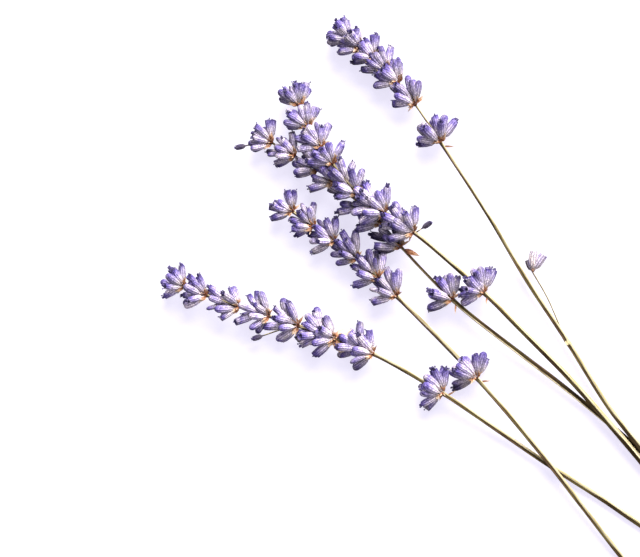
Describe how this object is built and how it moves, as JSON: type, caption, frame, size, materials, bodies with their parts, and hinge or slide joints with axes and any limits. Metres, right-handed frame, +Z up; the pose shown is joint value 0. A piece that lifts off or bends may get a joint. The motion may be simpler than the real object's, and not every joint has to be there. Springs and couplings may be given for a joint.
{
  "type": "bunch of dried lavender",
  "caption": "Loose untied bunch of dried lavender lying flat: slender straw-dry stems that fan out to spikes of small violet flower whorls.",
  "frame": {"origin": "on the surface that the bunch lies on, below the middle of its bounding box", "axes": "+X along the stems from the cut ends towards the flower tips, +Z up from the surface"},
  "size_m": [0.2178, 0.113, 0.0185],
  "materials": {
    "stem": "matt straw-dry stem, pale yellow to olive",
    "stalk": "matt dry stalk, tan",
    "flower": "woolly dried calyx, lavender grey to dark violet",
    "bract": "thin papery bract, orange tan"
  },
  "bodies": {
    "root": {"stem_a": "stem", "stem_a_whorl_1": "flower", "stem_a_whorl_2": "flower", "stem_a_whorl_3": "flower", "stem_a_whorl_4": "flower", "stem_a_whorl_5": "flower", "stem_a_whorl_6": "flower", "stem_a_lower_whorl": "flower", "stem_b": "stem", "stem_b_whorl_1": "flower", "stem_b_whorl_2": "flower", "stem_b_whorl_3": "flower", "stem_b_whorl_4": "flower", "stem_b_whorl_5": "flower", "stem_b_whorl_6": "flower", "stem_b_whorl_7": "flower", "stem_b_lower_whorl": "flower", "stem_c": "stem", "stem_c_whorl_1": "flower", "stem_c_whorl_2": "flower", "stem_c_whorl_3": "flower", "stem_c_whorl_4": "flower", "stem_c_whorl_5": "flower", "stem_c_whorl_6": "flower", "stem_c_whorl_7": "flower", "stem_c_lower_whorl": "flower", "stem_d": "stem", "stem_d_whorl_1": "flower", "stem_d_whorl_2": "flower", "stem_d_whorl_3": "flower", "stem_d_whorl_4": "flower", "stem_d_whorl_5": "flower", "stem_d_whorl_6": "flower", "stem_d_lower_whorl": "flower", "stem_e": "stem", "stem_e_whorl_1": "flower", "stem_e_whorl_2": "flower", "stem_e_whorl_3": "flower", "stem_e_whorl_4": "flower", "stem_e_whorl_5": "flower", "stem_e_whorl_6": "flower", "stem_e_whorl_7": "flower", "stem_e_lower_whorl": "flower", "stem_a_side_stalk": "stalk", "stem_a_side_flowers": "flower", "stem_c_tip_bud": "flower", "stem_b_stray_bud": "flower", "stem_e_stalked_bud": "flower", "stem_e_papery_bract_1": "bract", "stem_e_papery_bract_2": "bract", "stem_c_red_bract": "bract", "stem_b_narrow_bract": "bract", "stem_a_lower_bract": "bract", "stem_b_lower_bract": "bract", "stem_c_lower_bract": "bract", "stem_d_lower_bract": "bract", "stem_e_lower_bract": "bract"}
  },
  "joints": []
}
